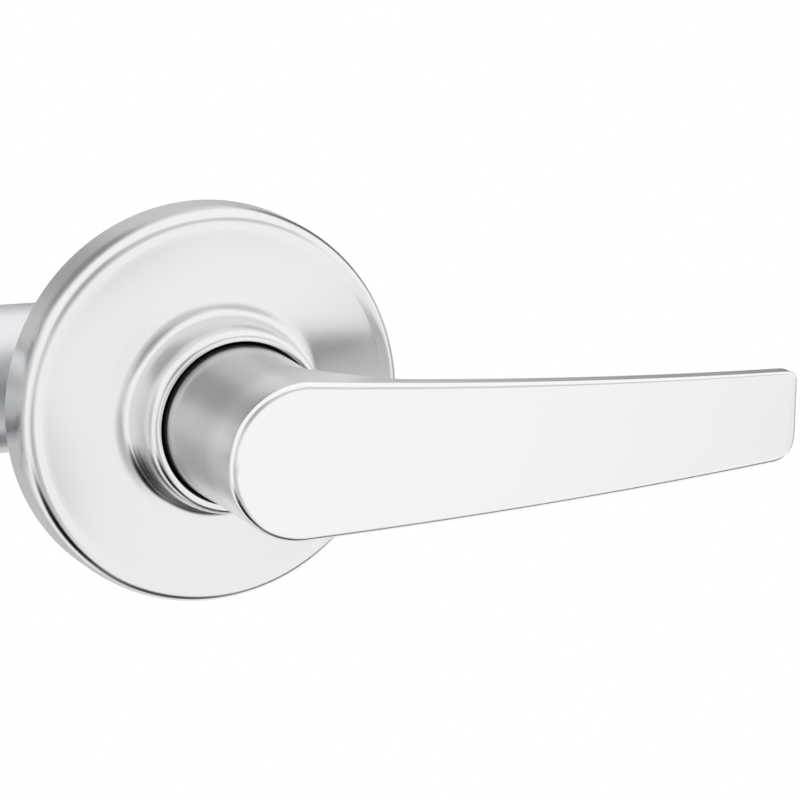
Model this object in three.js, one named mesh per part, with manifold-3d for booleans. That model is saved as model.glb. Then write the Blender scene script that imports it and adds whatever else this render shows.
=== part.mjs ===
// Passage lever lockset: a round rose and lever on each side of the door, one square spindle
// through both, and a tubular spring latch that the spindle draws back.
// Millimetres. +X points to the lever tips, -Y to the outside of the door and +Z up.
// The origin is on the spindle's axis, in the middle of the door's thickness.
import * as THREE from "three";
import { mergeVertices } from "three/addons/utils/BufferGeometryUtils.js";
import Module from "manifold-3d";

const wasm = await Module();
wasm.setup();

// Driving dimensions
const DOOR_THICKNESS = 44.5;
const BACKSET = 60;
const CLEARANCE = 0.3;
const HANDLE_TURN_DEG = 60;
const VISIBLE_SIDES = 40;
const HIDDEN_SIDES = 20;
const CURVE_STEPS = 5;
const PROFILE_STEPS = 3;

// Trim, measured along the spindle's axis outwards from the door face
const ROSE_RADIUS = 32.9;
const ROSE_RIM_HEIGHT = 4.8;
const ROSE_FACE_HEIGHT = 8.95;
const ROSE_WALL = 1.3;
const COLLAR_RADIUS = 14.4;
const COLLAR_BORE = 13.95;
const COLLAR_TOP = 20.1;
const PLATE_RADIUS = 31.1;
const PLATE_THICKNESS = 1.4;
const FIXING_OFFSET = 20.5;
const CAGE_RADIUS = 16.2;
const CAGE_TOP = 9.4;
const CAM_RADIUS = 12.6;
const SLEEVE_RADIUS = 8;
const SLEEVE_BOTTOM = -4;
const SLEEVE_TOP = 38;
const RING_LEVEL = 9.8;
const BUSHING_TOP = 19.7;

// Lever
const NECK_RADIUS = 12.75;
const NECK_BOTTOM = 12.8;
const HEAD_RADIUS = 12.35;
const LEVER_LENGTH = 88.5;
const LEVER_FRONT = 48.4;
const LEVER_SWEEP = 4.7;
const UPPER_EDGE = { belly: 9.2, tip: 7.9, corner: 2.5 };
const LOWER_EDGE = { belly: 10.7, tip: 7.4, corner: 5 };
const BLADE_THICKNESS = 5;
const TIP_THICKNESS = 4;
const BLADE_ROOT_LEVEL = 22;
const SET_SCREW_LEVEL = 26;
const SET_SCREW_RADIUS = 2.4;

// Spindle and latch
const SPINDLE_SQUARE = 7.94;
const SPINDLE_LENGTH = 108;
const SQUARE_HOLE = SPINDLE_SQUARE + CLEARANCE;
const FACEPLATE = { width: 25.4, height: 57.2, thickness: 2.1, corner: 6.35 };
const BACKPLATE = { width: 24.4, height: 56, thickness: 1.2, corner: 5.9 };
const FACEPLATE_SCREW_OFFSET = 20.6;
const CASE_RADIUS = 12.25;
const CASE_BORE = 11.45;
const CASE_REAR = 13;
const BOLT = { width: 12.6, height: 17, projection: 11, back: -46 };
const HUB_RADIUS = 6.9;
const HUB_HALF_LENGTH = 13;
const WING_RADIUS = 11.1;
const WING_HALF_THICKNESS = 1.5;
const LUG_RADIUS = 1.5;
const LUG_HEIGHT = 9.3;
const SEAT_PLACE = -27.5;
const TAIL_BAND = [2.4, 3.6];

const FINISHES = {
  satinChrome: { color: 0xd0d2d0, roughness: 0.32, metalness: 1 },
  zincPlate: { color: 0xb4b8bc, roughness: 0.42, metalness: 1 },
  springSteel: { color: 0x8d9196, roughness: 0.35, metalness: 1 },
  castZinc: { color: 0x9a9da0, roughness: 0.55, metalness: 1 },
  blackNylon: { color: 0x0c0c0d, roughness: 0.6, metalness: 0 },
};

// Shapes -----------------------------------------------------------------------------------

function points(pairs) {
  return pairs.map(([x, y]) => new THREE.Vector2(x, y));
}

// A body of revolution about +Z; each profile point is [radius, level].
function turned(profile, sides = HIDDEN_SIDES) {
  return new THREE.LatheGeometry(profile, sides).rotateX(Math.PI / 2);
}

function cylinder(radius, low, high, sides = HIDDEN_SIDES) {
  return turned(points([[0, low], [radius, low], [radius, high], [0, high]]), sides);
}

function ring(outer, inner, low, high, sides = HIDDEN_SIDES) {
  const profile = [[inner, low], [outer, low], [outer, high], [inner, high], [inner, low]];
  return turned(points(profile), sides);
}

function block([left, right], [front, back], [low, high]) {
  const box = new THREE.BoxGeometry(right - left, back - front, high - low);
  return box.translate((left + right) / 2, (front + back) / 2, (low + high) / 2);
}

function centred(size) {
  return [-size / 2, size / 2];
}

function prism(shape, low, high) {
  const options = { depth: high - low, bevelEnabled: false, curveSegments: CURVE_STEPS };
  return new THREE.ExtrudeGeometry(shape, options).translate(0, 0, low);
}

function wire(curve, radius, steps, sides = 6) {
  const section = new THREE.Shape();
  section.absarc(0, 0, radius, 0, 2 * Math.PI, false);
  const options = { steps, extrudePath: curve, curveSegments: sides / 2 };
  return new THREE.ExtrudeGeometry(section, options);
}

function roundedPlate({ width, height, corner }) {
  const [left, right] = centred(width);
  const [low, high] = centred(height);
  const plate = new THREE.Shape();
  plate.absarc(right - corner, high - corner, corner, 0, Math.PI / 2, false);
  plate.absarc(left + corner, high - corner, corner, Math.PI / 2, Math.PI, false);
  plate.absarc(left + corner, low + corner, corner, Math.PI, Math.PI * 1.5, false);
  plate.absarc(right - corner, low + corner, corner, Math.PI * 1.5, Math.PI * 2, false);
  return plate;
}

// Solids ------------------------------------------------------------------------------------

function solid(geometry) {
  const bare = geometry.clone();
  bare.deleteAttribute("normal");
  bare.deleteAttribute("uv");
  const merged = mergeVertices(bare);
  const vertProperties = new Float32Array(merged.attributes.position.array);
  const triVerts = new Uint32Array(merged.index.array);
  return new wasm.Manifold(new wasm.Mesh({ numProp: 3, vertProperties, triVerts }));
}

function joined(...geometries) {
  return geometries.map(solid).reduce((whole, piece) => whole.add(piece));
}

function cut(body, ...tools) {
  return tools.map(solid).reduce((rest, tool) => rest.subtract(tool), body);
}

function geometryOf(body) {
  const { vertProperties, triVerts } = body.getMesh();
  const geometry = new THREE.BufferGeometry();
  geometry.setAttribute("position", new THREE.BufferAttribute(vertProperties, 3));
  geometry.setIndex(new THREE.BufferAttribute(triVerts, 1));
  geometry.computeVertexNormals();
  return geometry;
}

function addPart(group, name, shape, finish) {
  const geometry = shape.isBufferGeometry ? shape : geometryOf(shape);
  const part = new THREE.Mesh(geometry, new THREE.MeshStandardMaterial(FINISHES[finish]));
  part.name = name;
  group.add(part);
  return part;
}

// Trim: +Z is outwards from the door face ---------------------------------------------------

function rose() {
  const outline = new THREE.Path();
  outline.moveTo(ROSE_RADIUS, 0);
  outline.lineTo(ROSE_RADIUS, ROSE_RIM_HEIGHT);
  outline.quadraticCurveTo(ROSE_RADIUS, ROSE_FACE_HEIGHT - 0.5, ROSE_RADIUS - 2.1, ROSE_FACE_HEIGHT);
  outline.quadraticCurveTo(25.4, 10.3, 18.6, 11.25);
  outline.quadraticCurveTo(16.3, 11.6, 15.9, 13.4);
  outline.lineTo(15.3, 17);
  outline.lineTo(COLLAR_RADIUS, 17.5);
  outline.quadraticCurveTo(COLLAR_RADIUS, COLLAR_TOP - 0.3, COLLAR_BORE, COLLAR_TOP);
  outline.lineTo(COLLAR_BORE, 15);
  outline.lineTo(15.2, 12.2);
  outline.lineTo(18, 10.2);
  outline.lineTo(ROSE_RADIUS - 2.6, ROSE_FACE_HEIGHT - ROSE_WALL);
  outline.lineTo(ROSE_RADIUS - ROSE_WALL, 6.2);
  outline.lineTo(ROSE_RADIUS - ROSE_WALL, 0);
  outline.lineTo(ROSE_RADIUS, 0);
  return turned(outline.getPoints(PROFILE_STEPS), VISIBLE_SIDES);
}

function neckBushing() {
  const outer = COLLAR_BORE - CLEARANCE;
  const bore = NECK_RADIUS + CLEARANCE;
  const floor = NECK_BOTTOM - CLEARANCE;
  const hole = SLEEVE_RADIUS + CLEARANCE;
  const bottom = floor - 1.2;
  const profile = [
    [hole, bottom], [outer, bottom], [outer, BUSHING_TOP], [bore, BUSHING_TOP],
    [bore, floor], [hole, floor], [hole, bottom],
  ];
  return turned(points(profile), VISIBLE_SIDES);
}

function mountingPlate() {
  const bottom = CLEARANCE;
  const top = bottom + PLATE_THICKNESS;
  const plate = solid(ring(PLATE_RADIUS, SLEEVE_RADIUS + 1.5, bottom, top, VISIBLE_SIDES));
  const hole = cylinder(2.7, bottom - 1, top + 1);
  const upper = hole.clone().translate(0, FIXING_OFFSET, 0);
  return cut(plate, upper, hole.translate(0, -FIXING_OFFSET, 0));
}

// A cup with its mouth to the mounting plate; the block inside its wall anchors the spring.
function springCage() {
  const mouth = 2;
  const wall = 1.2;
  const hole = SLEEVE_RADIUS + 0.5;
  const roof = CAGE_TOP - wall;
  const profile = [
    [CAGE_RADIUS - wall, mouth], [CAGE_RADIUS, mouth], [CAGE_RADIUS, CAGE_TOP],
    [hole, CAGE_TOP], [hole, roof], [CAGE_RADIUS - wall, roof], [CAGE_RADIUS - wall, mouth],
  ];
  const anchor = block(centred(3), [13.1, CAGE_RADIUS - wall / 2], [3.6, CAGE_TOP - wall / 2]);
  return joined(turned(points(profile)), anchor);
}

// A disc that turns with the sleeve; its lug swings one leg of the return spring.
function driveCam() {
  const bottom = 2.1;
  const face = 3.3;
  const disc = ring(CAM_RADIUS, SLEEVE_RADIUS + CLEARANCE, bottom, face);
  const lug = block(centred(3), [11.5, CAM_RADIUS - 0.1], [face - 0.5, 7.6]);
  return joined(disc, lug);
}

// Two turns round the sleeve, with a leg at each end on either side of the anchor and the lug.
function returnSpring() {
  const coilRadius = 10.2;
  const wireRadius = 0.6;
  const legOffset = 2.4;
  const legEnd = 14.3;
  const start = 4.3;
  const rise = 2.9;
  const steps = 22;
  const firstAngle = Math.PI / 2 - Math.asin(legOffset / coilRadius);
  const sweep = 4 * Math.PI - 2 * Math.asin(legOffset / coilRadius);
  const route = [new THREE.Vector3(legOffset, legEnd, start)];
  for (let i = 0; i <= steps; i += 1) {
    const angle = firstAngle - (sweep * i) / steps;
    const level = start + (rise * i) / steps;
    route.push(new THREE.Vector3(coilRadius * Math.cos(angle), coilRadius * Math.sin(angle), level));
  }
  route.push(new THREE.Vector3(-legOffset, legEnd, start + rise));
  return wire(new THREE.CatmullRomCurve3(route, false, "centripetal"), wireRadius, 52);
}

function driveSleeve() {
  const groove = ring(SLEEVE_RADIUS + 1, SLEEVE_RADIUS - 0.6, RING_LEVEL - 0.2, RING_LEVEL + 1.2);
  const square = centred(SQUARE_HOLE);
  const hole = block(square, square, [SLEEVE_BOTTOM - 1, SLEEVE_TOP + 1]);
  return cut(solid(cylinder(SLEEVE_RADIUS, SLEEVE_BOTTOM, SLEEVE_TOP)), groove, hole);
}

function retainingRing() {
  const body = solid(ring(11, SLEEVE_RADIUS - 0.35, RING_LEVEL, RING_LEVEL + 1));
  return cut(body, block([0, 12], centred(6), [RING_LEVEL - 1, RING_LEVEL + 2]));
}

// The blade seen from the front; "under" is +1 or -1, the side of its lower edge. Each edge is given
// by its half widths at the belly and the tip and by its tip corner.
function bladeOutline(under) {
  const up = -under;
  const [upper, lower] = [UPPER_EDGE, LOWER_EDGE];
  const middle = LEVER_LENGTH / 2;
  const outline = new THREE.Shape();
  outline.moveTo(0, up * HEAD_RADIUS);
  outline.quadraticCurveTo(middle, up * upper.belly, LEVER_LENGTH - upper.corner, up * upper.tip);
  outline.quadraticCurveTo(LEVER_LENGTH, up * upper.tip,
    LEVER_LENGTH, up * (upper.tip - upper.corner));
  outline.lineTo(LEVER_LENGTH, under * (lower.tip - lower.corner));
  outline.quadraticCurveTo(LEVER_LENGTH, under * lower.tip,
    LEVER_LENGTH - lower.corner, under * lower.tip);
  outline.quadraticCurveTo(middle, under * lower.belly, 0, under * HEAD_RADIUS);
  outline.absarc(0, 0, HEAD_RADIUS, under * Math.PI / 2, up * Math.PI / 2, up > 0);
  return outline;
}

// The blade seen from above, as [x, level]: it sweeps towards the door and its back runs into the neck.
function bladeSideView() {
  const beyond = LEVER_LENGTH + 1;
  const tipFront = LEVER_FRONT - LEVER_SWEEP;
  const root = 26;
  const rootBack = LEVER_FRONT - 0.4 - BLADE_THICKNESS;
  const side = new THREE.Shape();
  side.moveTo(-HEAD_RADIUS - 1, LEVER_FRONT);
  side.lineTo(0, LEVER_FRONT);
  side.quadraticCurveTo(LEVER_LENGTH / 2, LEVER_FRONT, beyond, tipFront);
  side.lineTo(beyond, tipFront - TIP_THICKNESS);
  side.quadraticCurveTo(55, rootBack, root, rootBack);
  side.quadraticCurveTo(14.5, rootBack, 10.5, 33);
  side.lineTo(2, BLADE_ROOT_LEVEL);
  side.lineTo(-HEAD_RADIUS - 1, BLADE_ROOT_LEVEL);
  side.closePath();
  return side;
}

function lever(under) {
  const depthAlongY = new THREE.Matrix4().makeRotationX(Math.PI / 2);
  const front = solid(prism(bladeOutline(under), BLADE_ROOT_LEVEL - 1, LEVER_FRONT + 1));
  const side = solid(prism(bladeSideView(), -20, 20).applyMatrix4(depthAlongY));
  const blade = front.intersect(side);
  const neckProfile = [
    [0, NECK_BOTTOM], [NECK_RADIUS - 0.5, NECK_BOTTOM], [NECK_RADIUS, NECK_BOTTOM + 0.5],
    [HEAD_RADIUS, LEVER_FRONT], [0, LEVER_FRONT],
  ];
  const casting = solid(turned(points(neckProfile), VISIBLE_SIDES)).add(blade);
  const bore = cylinder(SLEEVE_RADIUS + CLEARANCE, NECK_BOTTOM - 1, SLEEVE_TOP + 2);
  const tapping = cylinder(SET_SCREW_RADIUS + CLEARANCE, 0, HEAD_RADIUS + 2, 12)
    .rotateX(-under * Math.PI / 2).translate(0, 0, SET_SCREW_LEVEL);
  return cut(casting, bore, tapping);
}

function setScrew() {
  const inner = SLEEVE_RADIUS + CLEARANCE;
  const outer = NECK_RADIUS - 0.8;
  const socket = cylinder(1.25, outer - 1.8, outer + 1, 6);
  return cut(solid(cylinder(SET_SCREW_RADIUS, inner, outer, 12)), socket);
}

// "under" is the local Y direction that faces down, so that both levers match about the door.
function addTrim(lockset, side, direction, under) {
  const trim = new THREE.Group();
  trim.position.y = direction * DOOR_THICKNESS / 2;
  trim.rotation.x = -direction * Math.PI / 2;
  addPart(trim, `${side}_rose`, rose(), "satinChrome");
  addPart(trim, `${side}_neck_bushing`, neckBushing(), "blackNylon");
  addPart(trim, `${side}_mounting_plate`, mountingPlate(), "zincPlate");
  addPart(trim, `${side}_spring_cage`, springCage(), "zincPlate");
  addPart(trim, `${side}_return_spring`, returnSpring(), "springSteel");
  addPart(trim, `${side}_drive_cam`, driveCam(), "castZinc");
  addPart(trim, `${side}_drive_sleeve`, driveSleeve(), "castZinc");
  addPart(trim, `${side}_retaining_ring`, retainingRing(), "springSteel");
  addPart(trim, `${side}_lever`, lever(under), "satinChrome");
  const screw = addPart(trim, `${side}_lever_set_screw`, setScrew(), "springSteel");
  screw.rotation.x = -under * Math.PI / 2;
  screw.position.z = SET_SCREW_LEVEL;
  lockset.add(trim);
  return trim;
}

// Fixings ------------------------------------------------------------------------------------

function mountingPost() {
  const bore = 2.3;
  const seat = CLEARANCE + PLATE_THICKNESS + 0.2;
  const profile = [
    [0, -5], [bore, -5], [bore, -20.2], [3.8, -20.2], [3.8, 0], [2.4, 0],
    [2.4, seat], [3.3, seat], [3.3, seat + 0.7], [0, seat + 0.7],
  ];
  return turned(points(profile), 20);
}

function throughScrew() {
  const seat = CLEARANCE + PLATE_THICKNESS + 0.2;
  const profile = [
    [0, -33], [1.2, -33], [2, -32], [2, seat], [3.9, seat], [3.9, seat + 1.6], [2.6, seat + 2.5],
    [0, seat + 2.5],
  ];
  const slot = block(centred(6), centred(1), [seat + 1.4, seat + 3]);
  return cut(solid(turned(points(profile), 16)), slot);
}

function addFixings(outside, inside) {
  for (const [label, height] of [["upper", FIXING_OFFSET], ["lower", -FIXING_OFFSET]]) {
    addPart(outside, `mounting_post_${label}`, mountingPost(), "zincPlate").position.y = height;
    addPart(inside, `through_screw_${label}`, throughScrew(), "zincPlate").position.y = -height;
  }
}

// Latch: local X is along the door's thickness, Y is up and Z is away from the door's edge ----

function latchAxes() {
  const acrossDoor = new THREE.Vector3(0, 1, 0);
  const up = new THREE.Vector3(0, 0, 1);
  const intoDoor = new THREE.Vector3(1, 0, 0);
  return new THREE.Matrix4().makeBasis(acrossDoor, up, intoDoor);
}

function plateWithHoles(size, countersunk) {
  const plate = solid(prism(roundedPlate(size), 0, size.thickness));
  const reach = size.thickness + 1;
  const opening = block(centred(BOLT.width + 0.8), centred(BOLT.height + 0.8), [-1, reach]);
  const sink = countersunk ? 4.3 : 2.4;
  const straight = size.thickness - 0.2;
  const profile = [[0, -1], [sink, -1], [sink, 0], [2.4, straight], [2.4, reach], [0, reach]];
  const hole = turned(points(profile), 20);
  const upper = hole.clone().translate(0, FACEPLATE_SCREW_OFFSET, 0);
  return cut(plate, opening, upper, hole.translate(0, -FACEPLATE_SCREW_OFFSET, 0));
}

function faceplateScrew() {
  const profile = [[0, 0], [3.9, 0], [1.95, 1.9], [1.7, 18], [0, 23]];
  const slot = block(centred(9), centred(0.9), [-1, 0.8]);
  return cut(solid(turned(points(profile), 16)), slot);
}

function latchCase() {
  const start = BACKSET - FACEPLATE.thickness - BACKPLATE.thickness - 2 * CLEARANCE;
  const tube = solid(ring(CASE_RADIUS, CASE_BORE, -start, CASE_REAR, 36));
  const hubHole = cylinder(HUB_RADIUS + CLEARANCE, -CASE_RADIUS - 1, CASE_RADIUS + 1);
  return cut(tube, hubHole.rotateY(Math.PI / 2));
}

function latchSpring() {
  const coilRadius = 6.4;
  const turns = 6;
  const stepsPerTurn = 10;
  const start = BOLT.back + 0.8;
  const end = SEAT_PLACE - 0.8;
  const route = [];
  for (let i = 0; i <= turns * stepsPerTurn; i += 1) {
    const angle = (2 * Math.PI * i) / stepsPerTurn;
    const level = start + ((end - start) * i) / (turns * stepsPerTurn);
    route.push(new THREE.Vector3(coilRadius * Math.cos(angle), coilRadius * Math.sin(angle), level));
  }
  return wire(new THREE.CatmullRomCurve3(route), 0.5, turns * stepsPerTurn);
}

// The bolt's outline seen from above, as [x, y]; its bevel faces the outside of the door.
function latchBolt() {
  const tip = -BACKSET - BOLT.projection;
  const [front, back] = centred(BOLT.width);
  const outline = new THREE.Shape();
  outline.moveTo(BOLT.back, front);
  outline.lineTo(BOLT.back, back);
  outline.lineTo(tip + 1, back);
  outline.quadraticCurveTo(tip, back, tip, back - 1);
  outline.lineTo(tip, back - 2.6);
  outline.quadraticCurveTo(tip + 2.4, front + 2.6, tip + 10.6, front);
  outline.closePath();
  const head = prism(outline, ...centred(BOLT.height));
  const stem = block([BOLT.back - 2, -23.5], [-2.2, TAIL_BAND[0] - CLEARANCE], [-3.2, 3.2]);
  return joined(head, stem);
}

// A fork that straddles the hub; the hub's wings draw it back by its two lugs.
function latchTail() {
  const [bend, neck, yoke, end] = [-44, -21.5, -18.3, 1];
  const [stripHalf, forkInner, forkOuter] = [2.6, HUB_RADIUS + 0.7, 10.5];
  const fork = new THREE.Shape(points([
    [bend, -stripHalf], [neck, -stripHalf], [neck, -forkOuter], [end, -forkOuter], [end, -forkInner],
    [yoke, -forkInner], [yoke, forkInner], [end, forkInner], [end, forkOuter], [neck, forkOuter],
    [neck, stripHalf], [bend, stripHalf],
  ]));
  const tilt = THREE.MathUtils.degToRad(HANDLE_TURN_DEG / 2);
  const contact = (WING_HALF_THICKNESS + LUG_RADIUS) / Math.cos(tilt) - LUG_HEIGHT * Math.tan(tilt);
  const lug = cylinder(LUG_RADIUS, -2, TAIL_BAND[0] + 0.3, 12).translate(contact + 0.25, 0, 0);
  const lower = lug.clone().translate(0, -LUG_HEIGHT, 0);
  return joined(prism(fork, ...TAIL_BAND), lug.translate(0, LUG_HEIGHT, 0), lower);
}

// The wings start tilted back by half the handle's turn, so the tail moves evenly with it.
function latchHub() {
  const barrel = cylinder(HUB_RADIUS, -HUB_HALF_LENGTH, HUB_HALF_LENGTH);
  const tilt = THREE.MathUtils.degToRad(HANDLE_TURN_DEG / 2);
  const wing = block(centred(2 * WING_HALF_THICKNESS), [SQUARE_HOLE / 2 + 1, WING_RADIUS], [-2, 2]);
  const lower = wing.clone().rotateZ(Math.PI - tilt);
  const square = centred(SQUARE_HOLE);
  const hole = block(square, square, centred(2 * HUB_HALF_LENGTH + 2));
  return cut(joined(barrel, wing.rotateZ(tilt), lower), hole);
}

function addLatchPlates(lockset) {
  const plates = new THREE.Group();
  plates.setRotationFromMatrix(latchAxes());
  plates.position.x = -BACKSET;
  addPart(plates, "latch_faceplate", plateWithHoles(FACEPLATE, true), "satinChrome");
  const backplate = addPart(plates, "latch_backplate", plateWithHoles(BACKPLATE, false), "zincPlate");
  backplate.position.z = FACEPLATE.thickness + CLEARANCE;
  for (const [label, height] of [["upper", FACEPLATE_SCREW_OFFSET], ["lower", -FACEPLATE_SCREW_OFFSET]]) {
    addPart(plates, `faceplate_screw_${label}`, faceplateScrew(), "satinChrome").position.y = height;
  }
  lockset.add(plates);
}

function addLatchTubeParts(lockset) {
  const tube = new THREE.Group();
  tube.setRotationFromMatrix(latchAxes());
  addPart(tube, "latch_case", latchCase(), "zincPlate");
  addPart(tube, "latch_spring", latchSpring(), "springSteel");
  const seat = ring(CASE_BORE - 0.25, 4.7, SEAT_PLACE, SEAT_PLACE + 1.2);
  addPart(tube, "latch_spring_seat", seat, "zincPlate");
  lockset.add(tube);
}

// The hub, tail and spindle are drawn across the door: local Y is up and Z is to the outside.
function addDrive(lockset) {
  const across = new THREE.Group();
  across.rotation.x = Math.PI / 2;
  const square = centred(SPINDLE_SQUARE);
  addPart(across, "spindle", block(square, square, centred(SPINDLE_LENGTH)), "zincPlate");
  addPart(across, "latch_hub", latchHub(), "castZinc");
  addPart(across, "latch_tail", latchTail(), "zincPlate");
  lockset.add(across);
  addPart(lockset, "latch_bolt", latchBolt(), "satinChrome");
}

const lockset = new THREE.Group();
const outsideTrim = addTrim(lockset, "outside", -1, -1);
const insideTrim = addTrim(lockset, "inside", 1, 1);
addFixings(outsideTrim, insideTrim);
addLatchPlates(lockset);
addLatchTubeParts(lockset);
addDrive(lockset);

export default lockset;
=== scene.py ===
import math

import bmesh
import bpy
from mathutils import Matrix, Vector


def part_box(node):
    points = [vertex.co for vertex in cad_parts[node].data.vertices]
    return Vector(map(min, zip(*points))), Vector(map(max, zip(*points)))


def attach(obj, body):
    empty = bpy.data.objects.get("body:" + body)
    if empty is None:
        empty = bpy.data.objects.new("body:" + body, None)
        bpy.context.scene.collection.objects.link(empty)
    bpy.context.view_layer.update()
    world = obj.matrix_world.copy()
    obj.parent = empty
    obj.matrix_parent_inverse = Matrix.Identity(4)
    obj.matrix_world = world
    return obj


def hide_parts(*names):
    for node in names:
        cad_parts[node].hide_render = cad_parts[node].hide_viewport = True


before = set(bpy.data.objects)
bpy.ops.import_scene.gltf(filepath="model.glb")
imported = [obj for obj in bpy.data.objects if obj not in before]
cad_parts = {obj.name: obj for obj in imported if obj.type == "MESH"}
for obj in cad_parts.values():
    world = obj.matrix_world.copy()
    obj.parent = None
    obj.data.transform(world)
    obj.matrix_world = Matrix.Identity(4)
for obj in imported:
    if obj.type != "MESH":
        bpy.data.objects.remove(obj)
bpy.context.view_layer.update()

MM = 0.001
# Steps round a large and a small turned piece, and along a rounded corner
AROUND = 160
AROUND_SMALL = 48
ARC_STEPS = 6
# Points closer than this many metres are one
WELD = 1e-7

# Sizes that come from the CAD frame
ROSE_LOW, ROSE_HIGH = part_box("outside_rose")
LEVER_LOW, LEVER_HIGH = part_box("outside_lever")
HUB_RADIUS, HUB_HALF_LENGTH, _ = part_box("latch_hub")[1] / MM
SPINDLE_WIDTH = 2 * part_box("spindle")[1].x / MM
DOOR_FACE = -ROSE_HIGH.y
ROSE_RADIUS = ROSE_HIGH.x / MM
COLLAR_TOP = (ROSE_HIGH.y - ROSE_LOW.y) / MM
LEVER_LENGTH = LEVER_HIGH.x / MM
HEAD_RADIUS = -LEVER_LOW.x / MM
SIDES = {"outside": -1, "inside": 1}


def outward(y):
    """The level of a CAD depth on the outside, in millimetres from the door face."""
    return (-y - DOOR_FACE) / MM


LEVER_FRONT = outward(LEVER_LOW.y)
NECK_BOTTOM = outward(LEVER_HIGH.y)

# Trim details
ROSE_FACE_EDGE = 8.95
COLLAR_BORE = 13.55
NECK_RADIUS = 13.12
SLEEVE_BORE = 8.3
SQUARE_HOLE = SPINDLE_WIDTH + 0.3
# Level on which the posts' rivets and the through-screws' heads sit
SEAT = 1.9

# The blade: how far it sweeps towards the door, and its thickness at the head and at the tip
SWEEP = 4.7
BLADE_THICKNESS = (5.0, 4.0)
# Its upper and lower edge: the curve's control point half way along, half width at the tip, tip corner
UPPER_EDGE = (9.2, 7.9, 2.5)
LOWER_EDGE = (10.7, 7.4, 5.0)
ROOT_FILLET = 9.0
FACE_CROWN = 0.2
BACK_ROUNDING = 0.9
# Rounding of the edge round the face, and of its top line at the tip
FRONT_ROUNDING = (1.3, 0.5)
# The neck: its chamfer at the bottom, and the levels where its wall and its bore end
NECK_CHAMFER = 0.5
NECK_TOP = 31.0
BORE_END = 40.0
# Levels between which the painted shade on the lever's neck fades into the blade's full tone
NECK_END, BLADE_START = 37.0, 42.0


# Building blocks ------------------------------------------------------------------------------

def axis_frame(origin, direction):
    """Places a piece: local Z runs along direction and local Y stays up."""
    along = Vector(direction)
    across = Vector((0, 0, 1)).cross(along)
    turn = Matrix((across, along.cross(across), along)).transposed()
    return Matrix.Translation(origin) @ turn.to_4x4()


def downward_frame(origin):
    """Places a piece: local Z points straight down."""
    turn = Matrix(((1, 0, 0), (0, -1, 0), (0, 0, -1)))
    return Matrix.Translation(origin) @ turn.to_4x4()


def trim_frame(side, z=0.0):
    """Local Z points away from the door, from the door face on that side."""
    return axis_frame((0, SIDES[side] * DOOR_FACE, z), (0, SIDES[side], 0))


def mesh_object(name, verts, faces, place):
    """A mesh from millimetre points; faces may repeat a point where a row closes to one vertex."""
    mesh = bpy.data.meshes.new(name)
    clean = [list(dict.fromkeys(face)) for face in faces]
    clean = [face for face in clean if len(face) > 2]
    mesh.from_pydata([place @ (Vector(v) * MM) for v in verts], [], clean)
    bm = bmesh.new()
    bm.from_mesh(mesh)
    bmesh.ops.remove_doubles(bm, verts=bm.verts, dist=WELD)
    bmesh.ops.recalc_face_normals(bm, faces=bm.faces)
    bm.to_mesh(mesh)
    bm.free()
    obj = bpy.data.objects.new(name, mesh)
    bpy.context.scene.collection.objects.link(obj)
    return obj


def rounded(corners, steps=ARC_STEPS):
    """A closed outline from (x, y, radius) corners, each radius drawn as an arc."""
    outline = []
    for i, (x, y, radius) in enumerate(corners):
        corner = Vector((x, y))
        if not radius:
            outline.append((x, y))
            continue
        before = (Vector(corners[i - 1][:2]) - corner).normalized()
        after = (Vector(corners[(i + 1) % len(corners)][:2]) - corner).normalized()
        half = before.angle(after) / 2
        reach = radius / math.tan(half)
        centre = corner + (before + after).normalized() * radius / math.sin(half)
        first = corner + before * reach - centre
        last = corner + after * reach - centre
        start = math.atan2(first.y, first.x)
        sweep = (math.atan2(last.y, last.x) - start + math.pi) % (2 * math.pi) - math.pi
        for k in range(steps + 1):
            angle = start + sweep * k / steps
            outline.append((centre.x + radius * math.cos(angle), centre.y + radius * math.sin(angle)))
    return outline


def bend(start, control, end, steps=8):
    """Points of a curve that leaves start towards control and reaches end, without the last point."""
    start, control, end = Vector(start), Vector(control), Vector(end)
    shares = [k / steps for k in range(steps)]
    return [start * (1 - t) ** 2 + control * 2 * t * (1 - t) + end * t * t for t in shares]


def rectangle(width, height, corner=0.0):
    x, y = width / 2, height / 2
    return rounded([(x, -y, corner), (x, y, corner), (-x, y, corner), (-x, -y, corner)])


def cross(length, width):
    """The outline of the recess that a cross-slot driver fits."""
    far, near = length / 2, width / 2
    return [(far, -near), (far, near), (near, near), (near, far), (-near, far), (-near, near),
            (-far, near), (-far, -near), (-near, -near), (-near, -far), (near, -far), (near, -near)]


def stitched(here, there, count):
    """Faces between two closed rings of count points, from the number of each ring's first point."""
    return [(here + i, here + (i + 1) % count, there + (i + 1) % count, there + i) for i in range(count)]


def turned(name, profile, place, around=AROUND):
    """A body of revolution about local Z from a closed profile of (radius, level)."""
    count = len(profile)
    verts, faces = [], []
    for i in range(around):
        angle = 2 * math.pi * i / around
        verts += [(r * math.cos(angle), r * math.sin(angle), level) for r, level in profile]
    for i in range(around):
        here, there = i * count, ((i + 1) % around) * count
        for k in range(count):
            following = (k + 1) % count
            if profile[k][0] or profile[following][0]:
                faces.append((here + k, there + k, there + following, here + following))
    return mesh_object(name, verts, faces, place)


def rod(name, radius, low, high, place, around=AROUND_SMALL):
    """A plain cylinder along local Z."""
    return turned(name, [(0, low), (radius, low), (radius, high), (0, high)], place, around)


def extruded(name, outline, low, high, place):
    """A plate or bar: an outline of (x, y) drawn up from low to high along local Z."""
    count = len(outline)
    verts = [(x, y, low) for x, y in outline] + [(x, y, high) for x, y in outline]
    faces = [tuple(range(count)), tuple(range(count, 2 * count))] + stitched(0, count, count)
    return mesh_object(name, verts, faces, place)


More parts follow.
